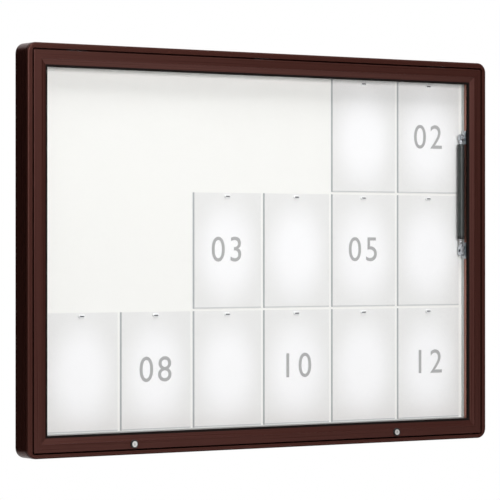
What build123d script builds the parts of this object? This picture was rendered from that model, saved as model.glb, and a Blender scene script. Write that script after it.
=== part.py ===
"""Wall notice board display case with a glazed flap door on a top hinge and a gas strut at its right.

Frame: +X to the viewer's right, +Y into the wall, +Z up, origin at the centre of the back plane.
Depths are counted from the front of the case towards the wall.
"""
from build123d import *
import math
import os

os.makedirs("parts", exist_ok=True)

# Case, outside
case_width = 1430.0
case_height = 1020.0
case_depth = 60.0
corner_radius = 26.0
front_edge_round = 4.5
side_groove_start = 6.0
side_groove_width = 4.0
side_groove_depth = 1.2

# Case profile
case_wall = 2.5
rim_width = 14.0
rim_width_bottom = 10.5
recess_corner_radius = 5.5
shoulder_start = 24.0
chamber_width = 45.0
ledge_width = 56.0
ledge_thickness = 2.5
case_cleat_width = 12.0
case_cleat_arm = 95.0

# Display board, its retainers and what hangs on it
board_front = 35.0
board_thickness = 1.5
board_edge_clearance = 1.0
retainer_front = 25.0
retainer_width = 57.0
retainer_wall = 1.5
rail_screw_count = 4
rail_screw_inset = 215.0
side_screw_count = 2
side_screw_inset = 216.0
sheet_width = 210.0
sheet_height = 297.0
sheet_thickness = 0.4
sheet_margin_across = 10.5
sheet_margin_up = 1.5
sheet_least_gap = 4.0
sheet_step_per_row = 2
magnet_length = 20.0
magnet_height = 9.0
magnet_thickness = 4.5
magnet_edge_round = 1.2
magnet_below_sheet_top = 9.0

# Door frame
door_gap = 4.0
door_gap_bottom = 3.5
door_depth = 22.0
door_corner_radius = 3.5
door_edge_round = 1.5
rail_width = 39.5
rail_flat = 21.0
lip_width = 2.5
bevel_step = 1.5
bevel_drop = 5.5
lip_thickness = 1.5
door_wall = 2.0
door_front_wall = 5.0
rebate_width = 12.5
door_cleat_arm = 80.0
door_cleat_thickness = 4.4

# Glazing
glass_thickness = 4.0
glass_edge_clearance = 2.0
front_gasket_thickness = 1.0
rear_gasket_thickness = 1.5
gasket_width = 9.5
gasket_show = 1.5
bead_clearance = 0.2
bead_wall = 1.5
seal_width = 7.0
seal_inset = 2.0
seal_clearance = 0.3

# Hinges
hinge_names = ("left", "centre", "right")
hinge_from_door_side = 137.0
hinge_length = 60.0
hinge_below_door_top = 12.0
hinge_depth = 9.0
knuckle_diameter = 7.0
pin_diameter = 3.5
middle_knuckle = 23.4
knuckle_gap = 0.3
leaf_thickness = 2.0
ledge_below_hinge = 6.0
case_leaf_height = 12.5
case_leaf_screw_rise = 7.5
door_leaf_depth = 12.0
door_leaf_screw_reach = 7.2
hinge_web = 4.0
hinge_screw_spread = 20.0

# Gas strut
strut_from_side = 69.5
strut_depth = 22.0
strut_upper_height = 307.0
strut_lower_height = 0.0
tube_diameter = 18.0
tube_wall = 1.2
tube_above_lower_pivot = 32.0
tube_end_wall = 6.0
tube_shoulder = 4.0
tube_guide = 12.0
tube_below_pivot = 18.0
rod_diameter = 8.0
rod_end_below_bore = 55.0
piston_length = 10.0
piston_clearance = 0.15
upper_eye_diameter = 18.0
lower_eye_width = 18.0
lower_eye_height = 28.0
eye_thickness = 8.0
eye_neck_diameter = 7.0
eye_neck_length = 1.0
strut_pin_diameter = 8.0
bracket_plate = 2.0
door_bracket_height = 36.0
door_bracket_width = 16.0
case_bracket_height = 44.0
case_bracket_width = 18.0
door_bracket_screw_spread = 12.0
case_bracket_screw_spread = 16.0
stud_clearance = 0.3
pin_head_diameter = 11.0
pin_head_height = 2.0

# Locks
lock_from_door_side = 287.0
lock_above_door_edge = 12.5
collar_diameter = 22.0
collar_proud = 3.0
collar_chamfer = 0.8
housing_diameter = 15.0
housing_rear = 14.0
plug_face_diameter = 15.0
plug_face_thickness = 2.4
plug_proud = 0.8
plug_diameter = 11.0
keyway_length = 6.5
keyway_width = 1.6
keyway_depth = 7.0
nut_diameter = 20.0
nut_thickness = 4.0
cam_thickness = 2.0
cam_width = 12.0
cam_reach = 21.0
cam_square = 7.0
tail_diameter = 9.5
tail_thickness = 1.0
cam_slot_clearance = 0.6
cam_sweep_margin = 1.5

# Wall rails
rail_spacing = 700.0
wall_hole_spacing = 1000.0
wall_hole_diameter = 9.0
channel_height = 60.0
channel_wall = 2.0
tab_screw_spread = 15.0

# Screws and running fits
screw_diameter = 4.0
screw_head_diameter = 7.0
screw_head_height = 1.5
screw_length = 12.0
hole_clearance = 0.1
running_clearance = 0.05
fit_clearance = 0.3

# Places worked out from the sizes above
half_width = case_width / 2
half_height = case_height / 2
door_half_width = half_width - rim_width - door_gap
door_top = half_height - rim_width - door_gap
door_bottom = -half_height + rim_width_bottom + door_gap_bottom
door_width = 2 * door_half_width
door_height = door_top - door_bottom
door_middle = (door_top + door_bottom) / 2
lip_rear = bevel_drop + lip_thickness
glass_front = lip_rear + front_gasket_thickness
glass_rear = glass_front + glass_thickness
bead_front = glass_rear + rear_gasket_thickness
rebate_start = rail_width - rebate_width
door_inner_wall = rebate_start - door_wall
hinge_height = door_top - hinge_below_door_top
hinge_ledge = hinge_height - ledge_below_hinge
top_chamber_start = hinge_below_door_top + ledge_below_hinge + door_wall
board_rear = board_front + board_thickness
ledge_rear = board_rear + ledge_thickness
strut_side = half_width - strut_from_side
lock_spread = door_half_width - lock_from_door_side
lock_height = door_bottom + lock_above_door_edge
cam_start = housing_rear + fit_clearance
cam_end = cam_start + cam_thickness


def facing_front(depth):
    """Plane parallel to the wall at a depth behind the front, looking out of the case."""
    return Plane(origin=(0, depth - case_depth, 0), x_dir=(1, 0, 0), z_dir=(0, -1, 0))


def facing_side(place):
    """Plane across the case at a place along X, with its local x towards the wall and its local y up."""
    return Plane(origin=(place, -case_depth, 0), x_dir=(0, 1, 0), z_dir=(1, 0, 0))


def save(part, name):
    """Label a finished piece and write its file."""
    part.label = name
    export_step(part, f"parts/{name}.step")


def block(front, rear, width, height, middle=0.0, across=0.0, radius=0.0, mode=Mode.ADD):
    """Plain or round-cornered block between two depths."""
    with BuildSketch(facing_front(rear)) as outline:
        with Locations((across, middle)):
            if radius > 0:
                RectangleRounded(width, height, radius)
            else:
                Rectangle(width, height)
    extrude(outline.sketch, amount=rear - front, mode=mode)


def frame_of(front, rear, outer, inner, mode=Mode.ADD):
    """Rectangular ring between two depths; outer and inner are (width, height, middle, radius)."""
    with BuildSketch(facing_front(rear)) as outline:
        for size, sketch_mode in ((outer, Mode.ADD), (inner, Mode.SUBTRACT)):
            width, height, middle, radius = size
            with Locations((0, middle)):
                if radius > 0:
                    RectangleRounded(width, height, radius, mode=sketch_mode)
                else:
                    Rectangle(width, height, mode=sketch_mode)
    extrude(outline.sketch, amount=rear - front, mode=mode)


def rod_across(place, length, depth, height, diameter, mode=Mode.ADD):
    """Round bar along X that starts at a place."""
    with BuildSketch(facing_side(place)) as outline:
        with Locations((depth, height)):
            Circle(diameter / 2)
    extrude(outline.sketch, amount=length, mode=mode)


def rod_inward(front, rear, across, height, diameter, mode=Mode.ADD):
    """Round bar along the depth between two depths."""
    with BuildSketch(facing_front(rear)) as outline:
        with Locations((across, height)):
            Circle(diameter / 2)
    extrude(outline.sketch, amount=rear - front, mode=mode)


def side_block(low, high, depths, heights, mode=Mode.ADD):
    """Block given by its ends along X, its two depths and its two heights."""
    with BuildSketch(facing_side(low)) as outline:
        with Locations(((depths[0] + depths[1]) / 2, (heights[0] + heights[1]) / 2)):
            Rectangle(depths[1] - depths[0], heights[1] - heights[0])
    extrude(outline.sketch, amount=high - low, mode=mode)


def inset(amount, bottom=None, radius=0.0):
    """Opening that lies an amount inside the case's outside: width, height, middle and radius."""
    lower = amount if bottom is None else bottom
    return (case_width - 2 * amount, case_height - amount - lower, (lower - amount) / 2, radius)


def door_inset(amount, top=None, radius=0.0):
    """Opening that lies an amount inside the door's outside."""
    upper = amount if top is None else top
    return (door_width - 2 * amount, door_height - amount - upper, door_middle + (amount - upper) / 2, radius)


def mitres(width, top, bottom):
    """Planes through the four corners; each keeps the top or bottom rail on its upper side."""
    return {
        "top_left": Plane(origin=(-width / 2, 0, top), z_dir=(1, 0, 1)),
        "top_right": Plane(origin=(width / 2, 0, top), z_dir=(-1, 0, 1)),
        "bottom_left": Plane(origin=(-width / 2, 0, bottom), z_dir=(1, 0, -1)),
        "bottom_right": Plane(origin=(width / 2, 0, bottom), z_dir=(-1, 0, -1)),
    }


def side_of(ring, corners, side):
    """One mitred side of a ring."""
    rails = side in ("top", "bottom")
    ends = [f"{side}_left", f"{side}_right"] if rails else [f"top_{side}", f"bottom_{side}"]
    with BuildPart() as piece:
        add(ring)
        for end in ends:
            split(bisect_by=corners[end], keep=Keep.TOP if rails else Keep.BOTTOM)
    return piece.part


def screw_inward(across, height, face, length, head=screw_head_height):
    """Pan-head screw driven towards the wall; its head sits in front of the face."""
    rod_inward(face - head, face, across, height, screw_head_diameter)
    rod_inward(face, face + length, across, height, screw_diameter)


def screw_hole(across, height, front, rear):
    """Screw hole through a wall between two depths."""
    rod_inward(front, rear, across, height, screw_diameter + 2 * hole_clearance, mode=Mode.SUBTRACT)


def screw_hole_across(place, length, depth, height):
    """Screw hole along X through a wall that starts at a place."""
    rod_across(place, length, depth, height, screw_diameter + 2 * hole_clearance, mode=Mode.SUBTRACT)


def spread_evenly(count, reach):
    """Evenly spaced places from one end to the other, each end a reach from the middle."""
    return [reach * (2 * index / (count - 1) - 1) for index in range(count)]


case_corners = mitres(case_width, half_height, -half_height)
door_corners = mitres(door_width, door_top, door_bottom)
sides = ("top", "bottom", "left", "right")

# Places of the screws that hold the retainers: along the rails and up the sides
retainer_middle = (chamber_width + retainer_width) / 2
rail_screw_places = spread_evenly(rail_screw_count, half_width - rail_screw_inset)
side_screw_places = spread_evenly(side_screw_count, half_height - side_screw_inset)
retainer_screw_places = []
for along in rail_screw_places:
    retainer_screw_places.append((along, half_height - retainer_middle))
    retainer_screw_places.append((along, -half_height + retainer_middle))
for along in side_screw_places:
    retainer_screw_places.append((half_width - retainer_middle, along))
    retainer_screw_places.append((-half_width + retainer_middle, along))

# Places of the screws of the hinges' case leaves
case_leaf_low = hinge_height + knuckle_diameter / 2 - leaf_thickness
case_leaf_screw_height = case_leaf_low + case_leaf_screw_rise
hinge_places = spread_evenly(len(hinge_names), door_half_width - hinge_from_door_side)
hinge_screw_places = []
for place in hinge_places:
    hinge_screw_places.append(place - hinge_screw_spread)
    hinge_screw_places.append(place + hinge_screw_spread)

# Places of the screws at the ends of the wall rails
rail_heights = (-rail_spacing / 2, rail_spacing / 2)
tab_screw_heights = []
for height in rail_heights:
    tab_screw_heights.append(height - tab_screw_spread)
    tab_screw_heights.append(height + tab_screw_spread)
tab_screw_depth = (ledge_rear + case_depth) / 2
tab_screw_length = channel_wall + case_wall
inner_wall_place = half_width - chamber_width

# Places of the screws of the strut's brackets
door_bracket_face = door_half_width - rail_width
case_bracket_face = half_width - retainer_width
door_bracket_screw_heights = [strut_upper_height + s * door_bracket_screw_spread for s in (-1, 1)]
case_bracket_screw_heights = [strut_lower_height + s * case_bracket_screw_spread for s in (-1, 1)]
door_bracket_screw_depth = (bead_front + door_depth) / 2
case_bracket_screw_depth = (retainer_front + board_front) / 2

# Case frame: one hollow profile with rim, shoulder, chamber and board ledge, mitred at its corners
with BuildPart() as case_ring:
    block(0, case_depth, case_width, case_height, radius=corner_radius)
    fillet(faces().sort_by(Axis.Y)[0].edges(), front_edge_round)
    recess = inset(rim_width, rim_width_bottom, recess_corner_radius)
    block(0, shoulder_start, recess[0], recess[1], recess[2], radius=recess[3], mode=Mode.SUBTRACT)
    chamber = inset(chamber_width)
    block(shoulder_start, board_rear, chamber[0], chamber[1], mode=Mode.SUBTRACT)
    ledge = inset(ledge_width)
    block(board_rear, ledge_rear, ledge[0], ledge[1], mode=Mode.SUBTRACT)
    block(ledge_rear, case_depth, chamber[0], chamber[1], mode=Mode.SUBTRACT)
    outer_wall = inset(case_wall, radius=corner_radius - case_wall)
    nose = inset(rim_width - case_wall, rim_width_bottom - case_wall, recess_corner_radius + case_wall)
    frame_of(case_wall, shoulder_start + case_wall, outer_wall, nose, mode=Mode.SUBTRACT)
    inner_wall = inset(chamber_width - case_wall)
    frame_of(shoulder_start + case_wall, case_depth - case_wall, outer_wall, inner_wall, mode=Mode.SUBTRACT)
    groove_floor = inset(side_groove_depth, radius=corner_radius - side_groove_depth)
    past_outside = inset(-case_wall)
    groove_end = side_groove_start + side_groove_width
    frame_of(side_groove_start, groove_end, past_outside, groove_floor, mode=Mode.SUBTRACT)
    for across, height in retainer_screw_places:
        screw_hole(across, height, board_rear, ledge_rear)
    for across in hinge_screw_places:
        screw_hole(across, case_leaf_screw_height, shoulder_start, shoulder_start + case_wall)
    for height in tab_screw_heights:
        for start in (-inner_wall_place - case_wall, inner_wall_place):
            screw_hole_across(start, case_wall, tab_screw_depth, height)
    for lock_place in (-lock_spread, lock_spread):
        keeper_low = -half_height + rim_width_bottom - case_wall
        keeper_drop = lock_height - keeper_low - case_wall
        keeper_reach = math.sqrt(cam_reach**2 + (cam_width / 2) ** 2 - keeper_drop**2) + cam_sweep_margin
        side_block(
            lock_place - cam_width / 2 - cam_sweep_margin,
            lock_place + keeper_reach,
            (cam_start - cam_slot_clearance, cam_end + cam_slot_clearance),
            (keeper_low, keeper_low + case_wall),
            mode=Mode.SUBTRACT,
        )

for side in sides:
    save(side_of(case_ring.part, case_corners, side), f"case_{side}_profile")

# Corner cleats in the case profile's chamber
with BuildPart() as case_corner_cleats:
    cleat_front = shoulder_start + case_wall + fit_clearance
    cleat_rear = case_depth - case_wall - fit_clearance
    cleat_outer = chamber_width - case_wall - fit_clearance - case_cleat_width
    cleat_inner = cleat_outer + case_cleat_width
    frame_of(cleat_front, cleat_rear, inset(cleat_outer), inset(cleat_inner))
    long_gap = case_width - 2 * (cleat_outer + case_cleat_arm)
    high_gap = case_height - 2 * (cleat_outer + case_cleat_arm)
    block(cleat_front, cleat_rear, long_gap, case_height, mode=Mode.SUBTRACT)
    block(cleat_front, cleat_rear, case_width, high_gap, mode=Mode.SUBTRACT)
save(case_corner_cleats.part, "case_corner_cleats")

# White coated steel board
with BuildPart() as display_board:
    board = inset(chamber_width + board_edge_clearance)
    block(board_front, board_rear, board[0], board[1])
    for across, height in retainer_screw_places:
        screw_hole(across, height, board_front, board_rear)
save(display_board.part, "display_board")

# Board retainers: channels that close the space between the chamber and the board, open at the back
with BuildPart() as retainer_ring:
    frame_of(retainer_front, board_front, inset(chamber_width), inset(retainer_width))
    hollow_outer = inset(chamber_width + retainer_wall)
    hollow_inner = inset(retainer_width - retainer_wall)
    frame_of(retainer_front + retainer_wall, board_front, hollow_outer, hollow_inner, mode=Mode.SUBTRACT)
    for across, height in retainer_screw_places:
        screw_hole(across, height, retainer_front, retainer_front + retainer_wall)
    for height in case_bracket_screw_heights:
        screw_hole_across(case_bracket_face, retainer_wall, case_bracket_screw_depth, height)

for side in sides:
    save(side_of(retainer_ring.part, case_corners, side), f"board_retainer_{side}")

with BuildPart() as retainer_screws:
    for across, height in retainer_screw_places:
        screw_inward(across, height, retainer_front, ledge_rear - retainer_front)
save(retainer_screws.part, "retainer_screws")

# Wall rails: channels across the back with the fixing holes in their webs and a tab at each end
rail_names = ("lower", "upper")
for height, rail_name in zip(rail_heights, rail_names):
    with BuildPart() as wall_rail:
        channel_width = 2 * inner_wall_place
        block(ledge_rear + fit_clearance, case_depth, channel_width, channel_height, height)
        channel_hollow = channel_width - 2 * channel_wall
        hollow_height = channel_height - 2 * channel_wall
        block(
            ledge_rear + fit_clearance,
            case_depth - channel_wall,
            channel_hollow,
            hollow_height,
            height,
            mode=Mode.SUBTRACT,
        )
        for across in (-wall_hole_spacing / 2, wall_hole_spacing / 2):
            web_front = case_depth - channel_wall
            rod_inward(web_front, case_depth, across, height, wall_hole_diameter, mode=Mode.SUBTRACT)
        for screw_height in tab_screw_heights:
            for start in (-inner_wall_place, inner_wall_place - channel_wall):
                screw_hole_across(start, channel_wall, tab_screw_depth, screw_height)
    save(wall_rail.part, f"wall_rail_{rail_name}")

with BuildPart() as rail_screws:
    for height in tab_screw_heights:
        tab_face = inner_wall_place - channel_wall
        head_start = tab_face - screw_head_height
        rod_across(head_start, screw_head_height, tab_screw_depth, height, screw_head_diameter)
        rod_across(tab_face, tab_screw_length, tab_screw_depth, height, screw_diameter)
        rod_across(-tab_face, screw_head_height, tab_screw_depth, height, screw_head_diameter)
        shank_start = -tab_face - tab_screw_length
        rod_across(shank_start, tab_screw_length, tab_screw_depth, height, screw_diameter)
save(rail_screws.part, "rail_screws")

# Rubber door seal on the case's shoulder, in four lengths
with BuildPart() as door_seal:
    seal_front = door_depth + seal_clearance
    seal_inner = chamber_width - seal_inset
    seal_outer = seal_inner - seal_width
    for side in (-1, 1):
        rail_middle = side * (half_height - (seal_inner + seal_outer) / 2)
        block(seal_front, shoulder_start, case_width - 2 * seal_outer, seal_width, rail_middle)
        side_middle = side * (half_width - (seal_inner + seal_outer) / 2)
        side_height = case_height - 2 * seal_inner - 2 * fit_clearance
        block(seal_front, shoulder_start, seal_width, side_height, across=side_middle)
save(door_seal.part, "door_seal")

# Sheets on the board, as many as fit, row by row from the bottom; each row up starts further right
clear_board = inset(retainer_width)
sheet_room_across = clear_board[0] - 2 * sheet_margin_across
sheet_room_up = clear_board[1] - 2 * sheet_margin_up
sheet_columns = int((sheet_room_across + sheet_least_gap) // (sheet_width + sheet_least_gap))
sheet_rows = int((sheet_room_up + sheet_least_gap) // (sheet_height + sheet_least_gap))
column_places = spread_evenly(sheet_columns, (sheet_room_across - sheet_width) / 2)
row_places = spread_evenly(sheet_rows, (sheet_room_up - sheet_height) / 2)
sheet_places = []
for row, height in enumerate(row_places):
    for across in column_places[row * sheet_step_per_row:]:
        sheet_places.append((across, height))

with BuildPart() as notice_sheets:
    for across, height in sheet_places:
        block(board_front - sheet_thickness, board_front, sheet_width, sheet_height, height, across)
save(notice_sheets.part, "notice_sheets")

# One magnet at the top of each sheet
with BuildPart() as sheet_magnets:
    magnet_rear = board_front - sheet_thickness
    with BuildSketch(facing_front(magnet_rear)):
        for across, height in sheet_places:
            with Locations((across, height + sheet_height / 2 - magnet_below_sheet_top)):
                SlotOverall(magnet_length, magnet_height)
    extrude(amount=magnet_thickness)
    fillet(faces().group_by(Axis.Y)[0].edges(), magnet_edge_round)
save(sheet_magnets.part, "sheet_magnets")

# Door frame: hollow mitred profile with a flat face, a stepped bevel to the glass and a glazing rebate
with BuildPart() as door_ring:
    block(0, door_depth, door_width, door_height, door_middle, radius=door_corner_radius)
    fillet(faces().sort_by(Axis.Y)[0].edges(), door_edge_round)
    opening = door_inset(rail_width)
    block(0, door_depth, opening[0], opening[1], opening[2], mode=Mode.SUBTRACT)
    rebate = door_inset(rebate_start)
    block(lip_rear, door_depth, rebate[0], rebate[1], rebate[2], mode=Mode.SUBTRACT)
    chamber_outer = door_inset(door_wall, top=top_chamber_start)
    chamber_inner = door_inset(door_inner_wall)
    frame_of(door_front_wall, door_depth - door_wall, chamber_outer, chamber_inner, mode=Mode.SUBTRACT)
    hinge_room = hinge_below_door_top + ledge_below_hinge
    block(
        door_front_wall,
        door_depth,
        door_width,
        hinge_room,
        door_top - hinge_room / 2,
        mode=Mode.SUBTRACT,
    )
    bevel_outer = door_inset(rail_flat)
    bevel_inner = door_inset(rail_width - lip_width)
    block(0, bevel_step, bevel_outer[0], bevel_outer[1], bevel_outer[2], mode=Mode.SUBTRACT)
    with BuildSketch(facing_front(bevel_step)) as bevel_front_outline:
        with Locations((0, bevel_outer[2])):
            Rectangle(bevel_outer[0], bevel_outer[1])
    with BuildSketch(facing_front(bevel_drop)) as bevel_rear_outline:
        with Locations((0, bevel_inner[2])):
            Rectangle(bevel_inner[0], bevel_inner[1])
    loft(ruled=True, mode=Mode.SUBTRACT)
    for lock_place in (-lock_spread, lock_spread):
        housing_hole = housing_diameter + 2 * hole_clearance
        rod_inward(0, door_front_wall, lock_place, lock_height, housing_hole, mode=Mode.SUBTRACT)
        slot_drop = lock_above_door_edge - door_wall
        slot_reach = math.sqrt(cam_reach**2 + (cam_width / 2) ** 2 - slot_drop**2) + cam_sweep_margin
        side_block(
            lock_place - cam_width / 2 - cam_sweep_margin,
            lock_place + slot_reach,
            (cam_start - cam_slot_clearance, cam_end + cam_slot_clearance),
            (door_bottom, door_bottom + door_wall),
            mode=Mode.SUBTRACT,
        )
    door_screw_depth = hinge_depth + door_leaf_screw_reach
    for across in hinge_screw_places:
        ledge_plane = Plane(origin=(across, door_screw_depth - case_depth, hinge_ledge), z_dir=(0, 0, -1))
        with BuildSketch(ledge_plane) as ledge_hole:
            Circle(screw_diameter / 2 + hole_clearance)
        extrude(amount=door_wall, mode=Mode.SUBTRACT)

for side in ("top", "bottom"):
    save(side_of(door_ring.part, door_corners, side), f"door_{side}_rail")
for side in ("left", "right"):
    save(side_of(door_ring.part, door_corners, side), f"door_{side}_stile")

# Corner cleats in the door profile's chamber
with BuildPart() as door_corner_cleats:
    cleat_inner = door_inner_wall - fit_clearance
    cleat_outer = cleat_inner - door_cleat_thickness
    cleat_front = door_front_wall + fit_clearance
    cleat_rear = door_depth - door_wall - fit_clearance
    frame_of(cleat_front, cleat_rear, door_inset(cleat_outer), door_inset(cleat_inner))
    long_gap = door_width - 2 * (cleat_outer + door_cleat_arm)
    high_gap = door_height - 2 * (cleat_outer + door_cleat_arm)
    block(cleat_front, cleat_rear, long_gap, door_height, door_middle, mode=Mode.SUBTRACT)
    block(cleat_front, cleat_rear, door_width, high_gap, door_middle, mode=Mode.SUBTRACT)
save(door_corner_cleats.part, "door_corner_cleats")

# Glass pane
with BuildPart() as glass_pane:
    pane = door_inset(rebate_start + glass_edge_clearance)
    block(glass_front, glass_rear, pane[0], pane[1], pane[2])
save(glass_pane.part, "glass_pane")


def gasket_strips(front, rear, reach):
    """Four rubber strips along the glass, the upright ones between the level ones."""
    outer = rail_width - gasket_width
    inner = rail_width + reach
    level = door_inset(outer)
    clear = door_inset(inner)
    with BuildPart() as strips:
        for side in (-1, 1):
            level_middle = door_middle + side * (door_height / 2 - (outer + inner) / 2)
            block(front, rear, level[0], inner - outer, level_middle)
            upright_place = side * (door_half_width - (outer + inner) / 2)
            block(front, rear, inner - outer, clear[1], door_middle, upright_place)
    return strips.part


save(gasket_strips(lip_rear, glass_front, gasket_show), "glazing_gasket_front")
save(gasket_strips(glass_rear, bead_front, 0.0), "glazing_gasket_rear")

# Glazing beads: hollow mitred strips behind the glass
with BuildPart() as bead_ring:
    bead_outer = rebate_start + bead_clearance
    frame_of(bead_front, door_depth, door_inset(bead_outer), door_inset(rail_width))
    hollow_outer = door_inset(bead_outer + bead_wall)
    hollow_inner = door_inset(rail_width - bead_wall)
    frame_of(bead_front + bead_wall, door_depth - bead_wall, hollow_outer, hollow_inner, mode=Mode.SUBTRACT)
    for height in door_bracket_screw_heights:
        screw_hole_across(door_bracket_face, bead_wall, door_bracket_screw_depth, height)

for side in sides:
    save(side_of(bead_ring.part, door_corners, side), f"glazing_bead_{side}")

# Concealed hinges: case leaf with the two outer knuckles, door leaf with the middle one
middle_half = middle_knuckle / 2
outer_start = middle_half + knuckle_gap
outer_length = hinge_length / 2 - outer_start
pin_hole = pin_diameter + 2 * running_clearance
for place, hinge_name in zip(hinge_places, hinge_names):
    hinge_start = place - hinge_length / 2
    with BuildPart() as case_leaf:
        for start in (hinge_start, place + outer_start):
            rod_across(start, outer_length, hinge_depth, hinge_height, knuckle_diameter)
            strap_heights = (case_leaf_low, case_leaf_low + leaf_thickness)
            side_block(start, start + outer_length, (hinge_depth, shoulder_start), strap_heights)
        plate_depths = (shoulder_start - leaf_thickness, shoulder_start)
        plate_heights = (case_leaf_low, case_leaf_low + case_leaf_height)
        side_block(hinge_start, hinge_start + hinge_length, plate_depths, plate_heights)
        rod_across(hinge_start, hinge_length, hinge_depth, hinge_height, pin_hole, mode=Mode.SUBTRACT)
        for across in (place - hinge_screw_spread, place + hinge_screw_spread):
            screw_hole(across, case_leaf_screw_height, plate_depths[0], plate_depths[1])
    save(case_leaf.part, f"hinge_{hinge_name}_case_leaf")

    with BuildPart() as door_leaf:
        rod_across(place - middle_half, middle_knuckle, hinge_depth, hinge_height, knuckle_diameter)
        web_depths = (hinge_depth - hinge_web / 2, hinge_depth + hinge_web / 2)
        side_block(place - middle_half, place + middle_half, web_depths, (hinge_ledge, hinge_height))
        leaf_depths = (hinge_depth - hinge_web / 2, hinge_depth + door_leaf_depth)
        leaf_heights = (hinge_ledge, hinge_ledge + leaf_thickness)
        side_block(hinge_start, hinge_start + hinge_length, leaf_depths, leaf_heights)
        middle_start = place - middle_half
        rod_across(middle_start, middle_knuckle, hinge_depth, hinge_height, pin_hole, mode=Mode.SUBTRACT)
        for across in (place - hinge_screw_spread, place + hinge_screw_spread):
            leaf_plane = Plane(origin=(across, door_screw_depth - case_depth, hinge_ledge), z_dir=(0, 0, 1))
            with BuildSketch(leaf_plane) as leaf_hole:
                Circle(screw_diameter / 2 + hole_clearance)
            extrude(amount=leaf_thickness, mode=Mode.SUBTRACT)
    save(door_leaf.part, f"hinge_{hinge_name}_door_leaf")

with BuildPart() as hinge_pins:
    for place in hinge_places:
        rod_across(place - hinge_length / 2, hinge_length, hinge_depth, hinge_height, pin_diameter)
save(hinge_pins.part, "hinge_pins")

with BuildPart() as hinge_case_screws:
    for across in hinge_screw_places:
        screw_inward(across, case_leaf_screw_height, shoulder_start - leaf_thickness, screw_length)
save(hinge_case_screws.part, "hinge_case_screws")

with BuildPart() as hinge_door_screws:
    for across in hinge_screw_places:
        head_plane = Plane(
            origin=(across, door_screw_depth - case_depth, hinge_ledge + leaf_thickness),
            z_dir=(0, 0, 1),
        )
        with BuildSketch(head_plane) as head_outline:
            Circle(screw_head_diameter / 2)
        extrude(amount=screw_head_height)
        with BuildSketch(head_plane) as shank_outline:
            Circle(screw_diameter / 2)
        extrude(amount=-(leaf_thickness + door_wall))
save(hinge_door_screws.part, "hinge_door_screws")

# Gas strut: tube on the door's bracket, rod running to the case's stud
tube_top = strut_upper_height - tube_below_pivot
tube_bottom = strut_lower_height + tube_above_lower_pivot
bore_top = tube_top - tube_end_wall
rod_end = bore_top - rod_end_below_bore
rod_start = strut_lower_height + lower_eye_height / 2 + eye_neck_length
eye_start = strut_side - eye_thickness / 2


def upright_round(bottom, top, diameter, mode=Mode.ADD):
    """Round bar along Z on the strut's line."""
    with BuildSketch(Plane(origin=(strut_side, strut_depth - case_depth, bottom))) as outline:
        Circle(diameter / 2)
    extrude(outline.sketch, amount=top - bottom, mode=mode)


def plate_slot(place, length, depth, height, size):
    """Upright plate with round ends, lying across X from a place; size is (width, height)."""
    with BuildSketch(facing_side(place)) as outline:
        with Locations((depth, height)):
            SlotOverall(size[1], size[0], rotation=90)
    extrude(outline.sketch, amount=length)


with BuildPart() as strut_tube:
    upright_round(tube_bottom, tube_top, tube_diameter)
    fillet(faces().sort_by(Axis.Z)[-1].edges(), tube_shoulder)
    bore = tube_diameter - 2 * tube_wall
    bore_bottom = tube_bottom + tube_guide
    upright_round(bore_bottom, bore_top, bore, mode=Mode.SUBTRACT)
    guide = rod_diameter + 2 * running_clearance
    upright_round(tube_bottom, bore_bottom, guide, mode=Mode.SUBTRACT)
save(strut_tube.part, "strut_tube")

with BuildPart() as strut_tube_eye:
    upright_round(tube_top, strut_upper_height, eye_neck_diameter)
    rod_across(eye_start, eye_thickness, strut_depth, strut_upper_height, upper_eye_diameter)
    eye_hole = strut_pin_diameter + 2 * running_clearance
    rod_across(eye_start, eye_thickness, strut_depth, strut_upper_height, eye_hole, mode=Mode.SUBTRACT)
save(strut_tube_eye.part, "strut_tube_eye")

with BuildPart() as strut_rod:
    upright_round(rod_start, rod_end, rod_diameter)
    piston = bore - 2 * piston_clearance
    upright_round(rod_end - piston_length, rod_end, piston)
save(strut_rod.part, "strut_rod")

with BuildPart() as strut_rod_eye:
    eye_size = (lower_eye_width, lower_eye_height)
    plate_slot(eye_start, eye_thickness, strut_depth, strut_lower_height, eye_size)
    upright_round(strut_lower_height, rod_start, eye_neck_diameter)
    eye_bore = strut_pin_diameter
    rod_across(eye_start, eye_thickness, strut_depth, strut_lower_height, eye_bore, mode=Mode.SUBTRACT)
save(strut_rod_eye.part, "strut_rod_eye")

# Bracket on the door's bead, with the pin that carries the tube's eye
with BuildPart() as strut_door_bracket:
    plate_start = door_bracket_face - bracket_plate
    plate_size = (door_bracket_width, door_bracket_height)
    plate_slot(plate_start, bracket_plate, strut_depth, strut_upper_height, plate_size)
    foot_depths = (bead_front, strut_depth)
    half_foot = door_bracket_height / 2
    foot_heights = (strut_upper_height - half_foot, strut_upper_height + half_foot)
    side_block(plate_start, door_bracket_face, foot_depths, foot_heights)
    pin_start = eye_start - fit_clearance
    rod_across(pin_start, plate_start - pin_start, strut_depth, strut_upper_height, strut_pin_diameter)
    head_start = pin_start - pin_head_height
    rod_across(head_start, pin_head_height, strut_depth, strut_upper_height, pin_head_diameter)
    for height in door_bracket_screw_heights:
        screw_hole_across(plate_start, bracket_plate, door_bracket_screw_depth, height)
save(strut_door_bracket.part, "strut_door_bracket")

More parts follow.
